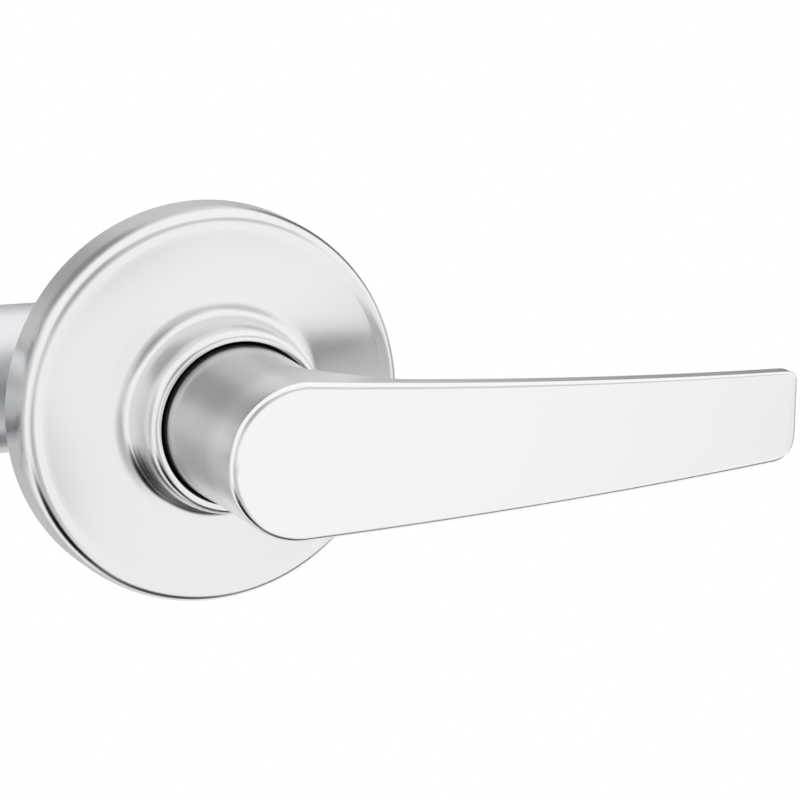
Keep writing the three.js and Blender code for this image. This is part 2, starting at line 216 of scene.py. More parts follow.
def threaded(name, core, depth, pitch, levels, place):
    """A screw thread: the radius rises and falls once in each pitch as it winds up local Z."""
    low, high = levels
    rows_per_turn, flank, around = 6, 2.6, AROUND_SMALL
    rows = int((high - low) / pitch * rows_per_turn)
    verts, faces = [], []
    for row in range(rows + 1):
        level = low + (high - low) * row / rows
        for i in range(around):
            turn = (level / pitch - i / around) % 1.0
            radius = core + depth * min(1.0, flank * min(turn, 1 - turn))
            angle = 2 * math.pi * i / around
            verts.append((radius * math.cos(angle), radius * math.sin(angle), level))
    for row in range(rows):
        faces += stitched(row * around, (row + 1) * around, around)
    faces.append(tuple(range(around)))
    faces.append(tuple(rows * around + i for i in range(around)))
    return mesh_object(name, verts, faces, place)


def settle(obj):
    """Writes an object's modifiers into its mesh."""
    depsgraph = bpy.context.evaluated_depsgraph_get()
    mesh = bpy.data.meshes.new_from_object(obj.evaluated_get(depsgraph))
    obj.modifiers.clear()
    obj.data = mesh


def combine(obj, others, operation):
    """Joins other solids to this one (UNION) or cuts them out of it (DIFFERENCE)."""
    for other in others:
        step = obj.modifiers.new("combine", "BOOLEAN")
        step.object = other
        step.operation = operation
        step.solver = "EXACT"
    settle(obj)
    for other in others:
        bpy.data.objects.remove(other)


def soften(obj, width, sharp_degrees=35):
    """Breaks the hard edges by width in millimetres."""
    edges = obj.modifiers.new("edges", "BEVEL")
    edges.width = width * MM
    edges.segments = 3
    edges.limit_method = "ANGLE"
    edges.angle_limit = math.radians(sharp_degrees)
    settle(obj)


def finish(obj, body, slot, material, *nodes):
    """Shades a piece, gives it its material and hangs it on its body in place of its CAD nodes."""
    sharp_degrees = 32
    obj.data.materials.clear()
    obj.data.materials.append(material)
    for face in obj.data.polygons:
        face.use_smooth = True
    obj.data.set_sharp_from_angle(angle=math.radians(sharp_degrees))
    normals = obj.modifiers.new("normals", "WEIGHTED_NORMAL")
    normals.keep_sharp = True
    settle(obj)
    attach(obj, body)
    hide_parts(*nodes)
    return obj


# Materials ------------------------------------------------------------------------------------

class Nodes:
    """Adds and links shader nodes with one call each; i0, i1, ... name a socket by its number."""

    def __init__(self, tree):
        self.tree = tree
        tree.nodes.clear()

    def add(self, kind, settings=None, **inputs):
        node = self.tree.nodes.new("ShaderNode" + kind)
        for key, value in (settings or {}).items():
            setattr(node, key, value)
        for key, value in inputs.items():
            number = key[1:]
            socket = node.inputs[int(number) if number.isdigit() else key.replace("_", " ")]
            if isinstance(value, bpy.types.NodeSocket):
                self.tree.links.new(value, socket)
            else:
                socket.default_value = value
        return node

    def math(self, operation, a, b=0.0):
        return self.add("Math", {"operation": operation}, i0=a, i1=b).outputs[0]


# How often the grain repeats in a metre along each of its axes; "round" has radius and depth for axes
GRAIN_SCALES = {"round": (5200, 5200, 1), "along": (60, 3800, 3800), "none": (2600, 2600, 2600)}
GRAIN_SHARE = 0.45


def grain_vector(nodes, grain):
    """Coordinates in which the brushing lines run round the spindle, along X, or nowhere."""
    place = nodes.add("TexCoord").outputs["Object"]
    if grain == "round":
        axes = nodes.add("SeparateXYZ", i0=place).outputs
        squares = [nodes.math("MULTIPLY", axis, axis) for axis in (axes[0], axes[2])]
        radius = nodes.math("SQRT", nodes.math("ADD", *squares))
        place = nodes.add("CombineXYZ", i0=radius, i1=axes[1]).outputs[0]
    return nodes.add("Mapping", i0=place, Scale=GRAIN_SCALES[grain]).outputs[0]


def painted_neck_shade(nodes, share):
    """Painted shade: the share of colour a lever's neck keeps, rising to all of it at the brushed blade.
    It stands in for the dark the neck mirrors from the collar and the rose.
    """
    axes = nodes.add("SeparateXYZ", i0=nodes.add("TexCoord").outputs["Object"])
    depth = nodes.math("ABSOLUTE", axes.outputs[1])
    start, end = DOOR_FACE + NECK_END * MM, DOOR_FACE + BLADE_START * MM
    return nodes.add("MapRange", Value=depth, i1=start, i2=end, i3=share, i4=1.0).outputs[0]


def metal(name, light, dark, roughness, grain="none", bump=0.05, metallic=1.0, neck=1.0):
    """A plated or plain surface: fine grain in colour, gloss and relief, and broad handling marks.

    Below 1.0, neck is the share of colour that the levers' necks keep: painted shade for the dark they
    mirror from the collar and the rose.
    """
    material = bpy.data.materials.new(name)
    material.use_nodes = True
    nodes = Nodes(material.node_tree)
    vector = grain_vector(nodes, grain)
    lines = nodes.add("TexNoise", Vector=vector, Scale=1.0, Detail=2.0).outputs[0]
    place = nodes.add("TexCoord").outputs["Object"]
    broad = nodes.add("TexNoise", Vector=place, Scale=55.0, Detail=3.0, Roughness=0.55).outputs[0]
    blend = nodes.math("ADD", nodes.math("MULTIPLY", lines, GRAIN_SHARE),
                       nodes.math("MULTIPLY", broad, 1 - GRAIN_SHARE))
    colour = nodes.add("Mix", {"data_type": "RGBA"}, i0=blend, i6=(*dark, 1), i7=(*light, 1)).outputs[2]
    # Painted shade: the colour is scaled down on the levers' necks
    if neck < 1.0:
        painted_shade = painted_neck_shade(nodes, neck)
        colour = nodes.add("VectorMath", {"operation": "SCALE"}, i0=colour, Scale=painted_shade).outputs[0]
    glossy, dull = roughness
    gloss = nodes.add("MapRange", Value=blend, i1=0.3, i2=0.7, i3=glossy, i4=dull).outputs[0]
    relief = nodes.add("Bump", Strength=bump, Distance=0.02 * MM, Height=lines).outputs[0]
    shader = nodes.add("BsdfPrincipled", Base_Color=colour, Metallic=metallic, Roughness=gloss,
                       Normal=relief)
    nodes.add("OutputMaterial", Surface=shader.outputs[0])
    return material


# Light and dark tone of each material, and satin chrome's range of roughness
CHROME = ((0.93, 0.935, 0.93), (0.84, 0.845, 0.84))
TURNED_CHROME = ((0.865, 0.875, 0.865), (0.775, 0.785, 0.775))
ZINC = ((0.88, 0.89, 0.91), (0.74, 0.75, 0.78))
STEEL = ((0.46, 0.47, 0.49), (0.30, 0.31, 0.33))
CASTING = ((0.55, 0.56, 0.58), (0.40, 0.41, 0.43))
BLACK = ((0.016, 0.016, 0.017), (0.008, 0.008, 0.009))
SATIN = (0.17, 0.27)

SATIN_ROUND = metal("satin_chrome_turned", *TURNED_CHROME, SATIN, "round")
SATIN_ALONG = metal("satin_chrome_brushed", *CHROME, SATIN, "along")
# The levers' chrome, with painted shade on the neck: its colour there is scaled down to 0.82
SATIN_LEVER_WITH_PAINTED_NECK = metal("satin_chrome_lever_painted_neck", *CHROME, SATIN, "along", neck=0.82)
ZINC_PLATE = metal("zinc_plate", *ZINC, (0.34, 0.48), bump=0.12)
SPRING_STEEL = metal("spring_steel", *STEEL, (0.25, 0.42), bump=0.1)
CAST_ZINC = metal("cast_zinc", *CASTING, (0.42, 0.60), bump=0.35)
BLACK_NYLON = metal("black_nylon", *BLACK, (0.45, 0.65), bump=0.3, metallic=0.0)


# Trim -----------------------------------------------------------------------------------------

def rose(side):
    """The cover: straight rim, rounded edge, domed face, and a raised collar with a rounded lip."""
    radius, edge, top, wall = ROSE_RADIUS, ROSE_FACE_EDGE, COLLAR_TOP, 1.3
    groove, valley = (radius - 2.0, edge + 0.06), (radius - 3.3, edge + 0.14)
    foot, flank, shoulder, crest = (18.6, 11.2), (15.95, 13.4), (15.6, 15.9), (13.9, top)
    outside = [(radius - 0.2, 0), (radius, 0.2)]
    outside += bend((radius, 4.8), (radius, 8.6), groove, 12)
    outside += bend(groove, (radius - 2.6, edge + 0.12), valley)
    outside += bend(valley, (24.4, 10.4), foot, 12)
    outside += bend(foot, (16.2, 11.6), flank, 10)
    outside += bend(flank, (15.7, 15.2), shoulder, 3)
    outside += bend(shoulder, (15.4, top - 0.02), crest, 14)
    relief = COLLAR_BORE + 0.2
    inside = [(COLLAR_BORE, top), (COLLAR_BORE, top - 0.5), (relief, top - 0.6), (relief, 15.0),
              (15.2, 12.2), (18.0, 10.2), (radius - 2.6, edge - wall), (radius - wall, 6.2),
              (radius - wall, 0)]
    cover = turned(side + "_rose_cover", outside + inside, trim_frame(side))
    finish(cover, "lockset", "satin_chrome", SATIN_ROUND, side + "_rose")


def neck_bushing(side):
    """The black ring between the collar and the neck; its floor reaches in to the sleeve."""
    bore, outer, top = NECK_RADIUS + 0.1, COLLAR_BORE + 0.1, COLLAR_TOP - 0.65
    floor = NECK_BOTTOM - 0.3
    base = floor - 1.2
    profile = rounded([
        (SLEEVE_BORE, base, 0), (outer, base, 0.3), (outer, top, 0.1), (bore, top, 0.2),
        (bore, floor, 0.3), (SLEEVE_BORE, floor, 0),
    ])
    ring = turned(side + "_bushing_ring", profile, trim_frame(side))
    finish(ring, "lockset", "black_nylon", BLACK_NYLON, side + "_neck_bushing")


def mounting_plate(side, hole_height):
    """A pressed disc with a raised ring near its edge and two screw holes."""
    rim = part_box(side + "_mounting_plate")[1].x / MM
    bore, low, high, press = 9.5, 0.3, 1.7, 0.4
    ridge_in, ridge_out, edge, hole = rim - 6.2, rim - 3.2, 0.3, 2.7
    profile = rounded([
        (bore, low, edge), (ridge_in - 0.6, low, edge), (ridge_in, low + press, edge),
        (ridge_out, low + press, edge), (ridge_out + 0.6, low, edge), (rim, low, 0.5), (rim, high, 0.5),
        (ridge_out + 0.4, high, edge), (ridge_out - 0.2, high + press, edge),
        (ridge_in + 0.2, high + press, edge), (ridge_in - 0.4, high, edge), (bore, high, edge),
    ], steps=3)
    plate = turned(side + "_mounting_disc", profile, trim_frame(side))
    places = [trim_frame(side, height) for height in (hole_height, -hole_height)]
    drills = [rod("drill", hole, low=-1, high=4, place=place) for place in places]
    combine(plate, drills, "DIFFERENCE")
    finish(plate, "lockset", "zinc_plate", ZINC_PLATE, side + "_mounting_plate")


def drive_sleeve(side):
    """A cast tube with the spindle's square hole and a groove for the retaining ring."""
    sleeve_low, sleeve_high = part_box("outside_drive_sleeve")
    ring_low, ring_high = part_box("outside_retaining_ring")
    radius, low, high = sleeve_high.x / MM, outward(sleeve_high.y), outward(sleeve_low.y)
    groove, groove_low, groove_high = radius - 0.6, outward(ring_high.y) - 0.2, outward(ring_low.y) + 0.2
    place = trim_frame(side)
    tube = turned(side + "_sleeve_tube", rounded([
        (0, low, 0), (radius, low, 0.5), (radius, groove_low, 0), (groove, groove_low, 0),
        (groove, groove_high, 0), (radius, groove_high, 0), (radius, high, 0.5), (0, high, 0),
    ]), place, AROUND_SMALL * 2)
    broach = extruded("broach", rectangle(SQUARE_HOLE, SQUARE_HOLE), low - 2, high + 2, place)
    combine(tube, [broach], "DIFFERENCE")
    finish(tube, "handle", "cast_zinc", CAST_ZINC, side + "_drive_sleeve")


# Lever ----------------------------------------------------------------------------------------

def lever_share(x):
    """How far along the lever a point is: 0 at the spindle's axis, 1 at the tip."""
    return min(max(x, 0.0) / LEVER_LENGTH, 1.0)


def lever_front(x):
    return LEVER_FRONT - SWEEP * lever_share(x) ** 2


def lever_back(x):
    thick, thin = BLADE_THICKNESS
    return lever_front(x) - thick + (thick - thin) * lever_share(x)


def front_rounding(point, inward):
    """The edge round the face is soft, but along the top it gets crisp towards the tip."""
    soft, crisp = FRONT_ROUNDING
    return soft + (crisp - soft) * lever_share(point.x) * max(-inward.y, 0.0)


def fillet_drop(distance):
    """How far the back lies below the blade's plane at a distance from the neck."""
    share = 1 - min(max(distance, 0.0) / ROOT_FILLET, 1.0)
    return ROOT_FILLET * (1 - math.sqrt(1 - share * share))


def half_outline(edge, head_steps=24, edge_steps=56, end_steps=4):
    """From the head's far side round to the middle of the tip, drawn as an upper edge."""
    belly, tip_width, corner = edge
    points = []
    for k in range(head_steps):
        angle = math.pi - math.pi / 2 * k / head_steps
        points.append(Vector((HEAD_RADIUS * math.cos(angle), HEAD_RADIUS * math.sin(angle))))
    end, side = (LEVER_LENGTH - corner, tip_width), Vector((LEVER_LENGTH, tip_width - corner))
    points += bend((0, HEAD_RADIUS), (LEVER_LENGTH / 2, belly), end, edge_steps)
    points += bend(end, (LEVER_LENGTH, tip_width), side)
    for k in range(end_steps + 1):
        points.append(side.lerp(Vector((LEVER_LENGTH, 0)), k / end_steps))
    return points


def lever_outline():
    """The blade's outline as one loop: over the top to the tip and back underneath."""
    upper = half_outline(UPPER_EDGE)
    lower = [Vector((p.x, -p.y)) for p in half_outline(LOWER_EDGE)]
    return upper + lower[-2:0:-1]


def inward_normals(loop):
    normals = []
    for i in range(len(loop)):
        run = (loop[(i + 1) % len(loop)] - loop[i - 1]).normalized()
        normals.append(Vector((run.y, -run.x)))
    return normals


def back_roundings(loop):
    """How far the back's edge is rounded: fully along the blade, and not at all round the head."""
    fade = 4.0
    shares = [min(max((p.length - HEAD_RADIUS) / fade, 0.0), 1.0) for p in loop]
    return [BACK_ROUNDING * s * s * (3 - 2 * s) for s in shares]


def neck_rings(rays, steps=6):
    """Out of the sleeve's bore, over the chamfer and up the neck, which widens slightly to the head."""
    start = NECK_BOTTOM + NECK_CHAMFER
    levels = [(SLEEVE_BORE, BORE_END), (SLEEVE_BORE, NECK_BOTTOM),
              (NECK_RADIUS - NECK_CHAMFER, NECK_BOTTOM), (NECK_RADIUS, start)]
    for k in range(1, steps + 1):
        share = k / steps
        levels.append((NECK_RADIUS + (HEAD_RADIUS - NECK_RADIUS) * share,
                       start + (NECK_TOP - start) * share))
    return [[(ray.x * radius, ray.y * radius, level) for ray in rays] for radius, level in levels]


def root_rings(rays, edge, steps=18):
    """The blade's back, from the top of the neck through the root's fillet to its own edge."""
    spread, ease = 2.2, 1.5
    gap = lever_back(0) - ROOT_FILLET - NECK_TOP
    rings = []
    for k in range(1, steps + 1):
        share = k / steps
        ring = []
        for ray, end in zip(rays, edge):
            p = (ray * HEAD_RADIUS).lerp(end, share ** spread)
            level = lever_back(p.x) - fillet_drop(p.length - HEAD_RADIUS) - gap * (1 - share) ** ease
            ring.append((p.x, p.y, level))
        rings.append(ring)
    return rings


def back_edge_rings(loop, inward, roundings, levels, steps=4):
    """Round the back's edge, out to the outline."""
    rings = []
    for k in range(1, steps + 1):
        angle = math.pi / 2 * k / steps
        ring = []
        for p, n, rounding, level in zip(loop, inward, roundings, levels):
            q = p + n * rounding * (1 - math.sin(angle))
            ring.append((q.x, q.y, level + BACK_ROUNDING * (1 - math.cos(angle))))
        rings.append(ring)
    return rings


def side_rings(loop, inward, levels, steps=4):
    """Up the blade's narrow side, between its two rounded edges."""
    rings = []
    for k in range(1, steps):
        ring = []
        for p, n, level in zip(loop, inward, levels):
            low, high = level + BACK_ROUNDING, lever_front(p.x) - FACE_CROWN - front_rounding(p, n)
            ring.append((p.x, p.y, low + (high - low) * k / steps))
        rings.append(ring)
    return rings


def face_edge_rings(loop, inward, steps=5):
    """Round the face's edge, in to where the face starts."""
    rings = []
    for k in range(steps + 1):
        angle = math.pi / 2 * k / steps
        ring = []
        for p, n in zip(loop, inward):
            soft = front_rounding(p, n)
            q = p + n * soft * (1 - math.cos(angle))
            ring.append((q.x, q.y, lever_front(q.x) - FACE_CROWN - soft * (1 - math.sin(angle))))
        rings.append(ring)
    return rings


def lever_rings(loop):
    """Rings of (x, z, level), from the bore in the neck out over the back and round to the face."""
    inward = inward_normals(loop)
    rays = [p.normalized() for p in loop]
    roundings = back_roundings(loop)
    edge = [p + n * rounding for p, n, rounding in zip(loop, inward, roundings)]
    rings = neck_rings(rays) + root_rings(rays, edge)
    levels = [level for _, _, level in rings[-1]]
    rings += back_edge_rings(loop, inward, roundings, levels)
    rings += side_rings(loop, inward, levels)
    return rings + face_edge_rings(loop, inward)


def cover_face(verts, faces, first, count, rows=10):
    """A slightly swelling grid across the face, from the upper to the lower half of the last ring."""
    half = count // 2
    grid = {}
    for i in range(half + 1):
        upper, lower = first + i, first + (count - i) % count
        a, b = Vector(verts[upper]), Vector(verts[lower])
        for m in range(rows + 1):
            if m == 0 or i in (0, half):
                grid[i, m] = upper
            elif m == rows:
                grid[i, m] = lower
            else:
                p = a.lerp(b, m / rows)
                swell = FACE_CROWN * (a.y - b.y) / (2 * HEAD_RADIUS) * (1 - (2 * m / rows - 1) ** 2)
                grid[i, m] = len(verts)
                verts.append((p.x, p.y, lever_front(p.x) - FACE_CROWN + swell))
    for i in range(half):
        for m in range(rows):
            faces.append((grid[i, m], grid[i + 1, m], grid[i + 1, m + 1], grid[i, m + 1]))


def lever_mesh(name, side):
    """One skin: rings round the outline, a grid across the face, and a fan that closes the bore."""
    loop = lever_outline()
    rings = lever_rings(loop)
    count = len(loop)
    verts = [point for ring in rings for point in ring]
    faces = []
    for r in range(len(rings) - 1):
        faces += stitched(r * count, (r + 1) * count, count)
    verts.append((0, 0, BORE_END))
    for i in range(count):
        faces.append((i, (i + 1) % count, len(verts) - 1))
    cover_face(verts, faces, (len(rings) - 1) * count, count)
    placed = [(x, SIDES[side] * (DOOR_FACE / MM + level), z) for x, z, level in verts]
    return mesh_object(name, placed, faces, Matrix.Identity(4))


def set_screw(side, place):
    """A short screw under the neck, with a cup point and a hexagon socket."""
    thread, point, key = 2.4, 1.6, 1.3
    tip, start, end = 8.35, 9.0, 11.9
    screw = turned(side + "_grub_screw", rounded([
        (0, tip, 0), (point, tip, 0), (thread, start, 0.2), (thread, end, 0.35), (0, end, 0),
    ]), place, AROUND_SMALL)
    hexagon = [(key * math.cos(k * math.pi / 3), key * math.sin(k * math.pi / 3)) for k in range(6)]
    combine(screw, [extruded("key", hexagon, low=10, high=14, place=place)], "DIFFERENCE")
    finish(screw, "handle", "spring_steel", SPRING_STEEL, side + "_lever_set_screw")


def lever(side):
    """The casting, with the hole for its set screw under the neck."""
    casting = lever_mesh(side + "_lever_casting", side)
    screw_low, screw_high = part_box(side + "_lever_set_screw")
    centre = (screw_low + screw_high) / 2
    place = downward_frame((centre.x, centre.y, 0))
    combine(casting, [rod("drill", radius=2.7, low=9, high=15, place=place)], "DIFFERENCE")
    finish(casting, "handle", "satin_chrome", SATIN_LEVER_WITH_PAINTED_NECK, side + "_lever")
    set_screw(side, place)


# Fixings, spindle and latch -------------------------------------------------------------------

def mounting_post(label, height):
    """A threaded post riveted to the outside plate, with a groove where it can be broken shorter."""
    outer, bore, groove, neck, rivet = 3.8, 2.3, 3.4, 2.4, 3.3
    end, bore_end, top, slope = -20.2, -5, SEAT + 0.7, 0.3
    groove_low, groove_high = -13.2, -12.4
    profile = rounded([
        (0, bore_end, 0), (bore, bore_end, 0), (bore, end, 0.3), (outer, end, 0.5),
        (outer, groove_low - slope, 0.2), (groove, groove_low, 0.2), (groove, groove_high, 0.2),
        (outer, groove_high + slope, 0.2), (outer, 0, 0.3), (neck, 0, 0), (neck, SEAT, 0),
        (rivet, SEAT, 0.1), (rivet, top, 0.5), (0, top, 0),
    ], steps=3)
    post = turned("post_" + label, profile, trim_frame("outside", height), AROUND_SMALL)
    finish(post, "lockset", "zinc_plate", ZINC_PLATE, "mounting_post_" + label)


def through_screw(label, height):
    """A machine screw from the inside plate into its post."""
    place = trim_frame("inside", height)
    radius, side, crown, top = 3.9, SEAT + 1.5, 2.6, SEAT + 2.5
    screw = turned("through_bolt_" + label, rounded([
        (0, SEAT, 0), (radius, SEAT, 0.15), (radius, side, 0.3), (crown, top, 1.2), (0, top, 0),
    ]), place, AROUND_SMALL)
    recess = cross(length=4.6, width=0.9)
    combine(screw, [extruded("recess", recess, SEAT + 1.1, SEAT + 4, place)], "DIFFERENCE")
    shank = threaded("shank", core=1.6, depth=0.4, pitch=0.8, levels=(-32.6, SEAT + 0.1), place=place)
    combine(screw, [shank], "UNION")
    finish(screw, "lockset", "zinc_plate", ZINC_PLATE, "through_screw_" + label)


def faceplate_screw(label):
    """A countersunk wood screw with a cone for its point."""
    low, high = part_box("faceplate_screw_" + label)
    place = axis_frame((low.x, 0, (low.z + high.z) / 2), (1, 0, 0))
    radius, face, neck, neck_level = 3.85, 0.05, 1.9, 2.0
    screw = turned("wood_screw_" + label, rounded([
        (0, face, 0), (radius, face, 0.15), (neck, neck_level, 0), (0, neck_level, 0),
    ]), place, AROUND_SMALL)
    recess = cross(length=4.2, width=0.8)
    combine(screw, [extruded("recess", recess, low=-1, high=1.1, place=place)], "DIFFERENCE")
    shank = threaded("shank", core=1.3, depth=0.6, pitch=1.8, levels=(1.8, 19.0), place=place)
    point = turned("point", [(0, 18.8), (1.45, 18.8), (0, 22.9)], place, AROUND_SMALL)
    combine(screw, [shank, point], "UNION")
    finish(screw, "lockset", "satin_chrome", SATIN_ALONG, "faceplate_screw_" + label)


def spindle():
    low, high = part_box("spindle")
    place = axis_frame((0, 0, 0), (0, 1, 0))
    bar = extruded("square_spindle", rectangle(SPINDLE_WIDTH, SPINDLE_WIDTH, 0.4),
                   low.y / MM, high.y / MM, place)
    soften(bar, 0.6)
    finish(bar, "handle", "zinc_plate", ZINC_PLATE, "spindle")


def latch_plate(name, node, corner, sink, material, slot):
    """A rounded plate with the bolt's opening and two screw holes; sink is their radius at the face."""
    low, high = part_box(node)
    thickness, width, height = (high - low) / MM
    place = axis_frame((low.x, 0, 0), (1, 0, 0))
    plate = extruded(name, rectangle(width, height, corner), 0, thickness, place)
    bolt_low, bolt_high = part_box("latch_bolt")
    gap, hole, past = 0.8, 2.4, thickness + 1
    _, bolt_width, bolt_height = (bolt_high - bolt_low) / MM
    opening = rectangle(bolt_width + gap, bolt_height + gap, 1.2)
    cutters = [extruded("opening", opening, -1, past, place)]
    screw_low, screw_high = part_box("faceplate_screw_upper")
    offset = (screw_low.z + screw_high.z) / 2
    profile = [(0, -1), (sink, -1), (sink, 0), (hole, thickness - 0.2), (hole, past), (0, past)]
    for screw_height in (offset, -offset):
        screw_place = axis_frame((low.x, 0, screw_height), (1, 0, 0))
        cutters.append(turned("countersink", profile, screw_place, AROUND_SMALL))
    combine(plate, cutters, "DIFFERENCE")
    soften(plate, 0.3)
    finish(plate, "lockset", slot, material, node)


def latch_case():
    """The tube round the mechanism, drilled across for the hub."""
    low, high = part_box("latch_case")
    outer, length, wall = high.z / MM, (high.x - low.x) / MM, 0.8
    bore = outer - wall
    profile = rounded([(bore, 0, 0.2), (outer, 0, 0.3), (outer, length, 0.4), (bore, length, 0.2)],
                      steps=3)
    tube = turned("latch_tube", profile, axis_frame((low.x, 0, 0), (1, 0, 0)))
    across = axis_frame((0, 0, 0), (0, 1, 0))
    hole = rod("hub_hole", HUB_RADIUS + 0.3, low=-20, high=20, place=across, around=AROUND)
    combine(tube, [hole], "DIFFERENCE")
    soften(tube, 0.2, 60)
    finish(tube, "lockset", "zinc_plate", ZINC_PLATE, "latch_case")


def latch_bolt():
    """The bolt's head with its curved bevel, and the stem behind it."""
    low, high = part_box("latch_bolt")
    tip, half, tall = low.x / MM, high.y / MM, high.z / MM
    back, nose, bevel_end, stem_end = -46, half - 2.6, tip + 10.6, high.x / MM
    outline = [(back, -half), (back, half), (tip + 1.2, half), (tip + 0.35, half - 0.35),
               (tip, half - 1.2), (tip, nose)]
    outline += bend((tip, nose), (tip + 2.4, -nose), (bevel_end, -half), 12)[1:]
    outline.append((bevel_end, -half))
    here = Matrix.Identity(4)
    bolt = extruded("latch_bolt_head", outline, -tall, tall, here)
    soften(bolt, 0.7)
    stem = rounded([(back - 2, -2.2, 0), (stem_end, -2.2, 0.6), (stem_end, 2.1, 0.6), (back - 2, 2.1, 0)])
    combine(bolt, [extruded("stem", stem, low=-3.2, high=3.2, place=here)], "UNION")
    finish(bolt, "latch_slide", "satin_chrome", SATIN_ALONG, "latch_bolt")


def latch_tail():
    """A pressed fork with two lugs that the hub's wings pull on; local X points to the bolt."""
    place = axis_frame((0, 0, 0), (0, 1, 0))
    bolt_end, neck, yoke, end = 44, 21.5, 18.3, -1
    strip, inner, outer = 2.6, HUB_RADIUS + 0.7, 10.5
    half = [(end, inner, 1.2), (end, outer, 1.2), (neck, outer, 1.2), (neck, strip, 0.8),
            (bolt_end, strip, 0.8)]
    mirrored = [(x, -y, corner) for x, y, corner in reversed(half)]
    fork = rounded(mirrored + [(yoke, -inner, 1.0), (yoke, inner, 1.0)] + half, steps=4)
    plate = extruded("latch_fork", fork, low=-3.6, high=-2.4, place=place)
    lug_radius, lug_x, lug_height = 1.5, -1.65, 9.3
    lugs = []
    for height in (lug_height, -lug_height):
        lug_place = axis_frame((lug_x * MM, 0, height * MM), (0, 1, 0))
        lugs.append(rod("lug", lug_radius, low=-3, high=2, place=lug_place))
    combine(plate, lugs, "UNION")
    soften(plate, 0.2)
    finish(plate, "latch_slide", "zinc_plate", ZINC_PLATE, "latch_tail")


def latch_hub():
    """A barrel with the spindle's square hole and two wings, tilted back by half the handle's turn."""
    place = axis_frame((0, 0, 0), (0, 1, 0))
    radius, half_length, tilt_degrees = HUB_RADIUS, HUB_HALF_LENGTH, 30
    barrel = turned("latch_cam", rounded([
        (0, -half_length, 0), (radius, -half_length, 0.5), (radius, half_length, 0.5), (0, half_length, 0),
    ]), place, AROUND_SMALL * 2)
    thick, root, tip = 1.5, 5.0, 11.1
    wings = []
    for sign in (1, -1):
        tilt = Matrix.Rotation(math.radians(-tilt_degrees * sign), 4, "Y")
        outline = rounded([(-thick, sign * root, 0), (thick, sign * root, 0), (thick, sign * tip, 0.6),
                           (-thick, sign * tip, 0.6)])
        wings.append(extruded("wing", outline, low=-2, high=2, place=tilt @ place))
    combine(barrel, wings, "UNION")
    broach = extruded("broach", rectangle(SQUARE_HOLE, SQUARE_HOLE), -half_length - 2, half_length + 2,
                      place)
    combine(barrel, [broach], "DIFFERENCE")
    finish(barrel, "handle", "cast_zinc", CAST_ZINC, "latch_hub")


def wire_mesh(name, route, radius):
    """A round wire swept along a route of points in metres."""
    curve = bpy.data.curves.new(name, "CURVE")
    curve.dimensions = "3D"
    curve.bevel_depth = radius
    curve.bevel_resolution = 3
    curve.use_fill_caps = True
    line = curve.splines.new("POLY")
    line.points.add(len(route) - 1)
    for point, place in zip(line.points, route):
        point.co = (*place, 1)
    wire = bpy.data.objects.new(name, curve)
    bpy.context.scene.collection.objects.link(wire)
    depsgraph = bpy.context.evaluated_depsgraph_get()
    mesh = bpy.data.meshes.new_from_object(wire.evaluated_get(depsgraph))
    bpy.data.objects.remove(wire)
    piece = bpy.data.objects.new(name, mesh)
    bpy.context.scene.collection.objects.link(piece)
    return piece


def latch_spring():
    low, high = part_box("latch_spring")
    coil, wire, turns, steps = 6.4 * MM, 0.5 * MM, 6, 32
    start, end = low.x + wire, high.x - wire
    route = []
    for i in range(turns * steps + 1):
        angle = 2 * math.pi * i / steps
        x = start + (end - start) * i / (turns * steps)
        route.append((x, coil * math.cos(angle), coil * math.sin(angle)))
    spring = wire_mesh("latch_coil_spring", route, wire)
    finish(spring, "lockset", "spring_steel", SPRING_STEEL, "latch_spring")


def carried_over(names, material):
    """CAD nodes whose shape is right keep it and take a finished material."""
    for name in names:
        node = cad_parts[name]
        node.data.materials.clear()
        node.data.materials.append(material)


def hidden_mechanism():
    for side in SIDES:
        carried_over([side + "_spring_cage"], ZINC_PLATE)
        carried_over([side + "_drive_cam"], CAST_ZINC)
        carried_over([side + "_retaining_ring", side + "_return_spring"], SPRING_STEEL)
    carried_over(["latch_spring_seat"], ZINC_PLATE)


# Studio ---------------------------------------------------------------------------------------

# The photo's view: the camera stands to the left of the lever and above it
VIEW_AZIMUTH = -23.75
VIEW_ELEVATION = 12.9
VIEW_ROLL = 1.45
VIEW_DISTANCE = 0.807
SENSOR_WIDTH = 36
LENS = 225.3
NEAR_CLIP = 0.05
AIM_SHIFT = Vector((-0.0022, -0.0252, 0.0033))
RIM_STEPS = 72

# The studio's white, and the soft dark flags in it, which the metal mirrors as lines and shades.
# Each flag: direction, degrees of full effect, degrees where it ends, light left
WHITE = 1.06
FLAGS = [
    ((-0.50, -0.18, -0.85), 14, 30, 0.0),
    ((0.15, 0.08, -0.98), 8, 30, 0.05),
    ((0.42, 0.87, -0.10), 10, 26, 0.6),
    ((0.85, -0.50, -0.20), 5, 30, 0.87),
    ((-0.15, 0.90, 0.35), 20, 45, 0.6),
    ((-0.42, -0.85, 0.25), 8, 27, 0.75),
    ((-0.42, -0.80, -0.45), 8, 27, 0.55),
    ((-0.68, -0.70, -0.12), 8, 24, 0.85),
    ((-0.50, -0.68, 0.55), 8, 26, 0.5),
    ((-0.05, -0.85, 0.52), 10, 28, 0.62),
    ((-0.80, 0.60, -0.10), 10, 35, 0.55),
    ((-0.12, 0.85, -0.50), 6, 34, 0.55),
    ((-0.34, 0.75, 0.54), 8, 26, 0.4),
    ((0.66, 0.73, 0.19), 10, 19, 0.12),
    ((0.52, -0.69, 0.50), 6, 20, 0.6),
    ((0.62, 0.10, -0.78), 6, 16, 0.1),
    ((0.90, 0.35, -0.22), 8, 22, 0.35),
]


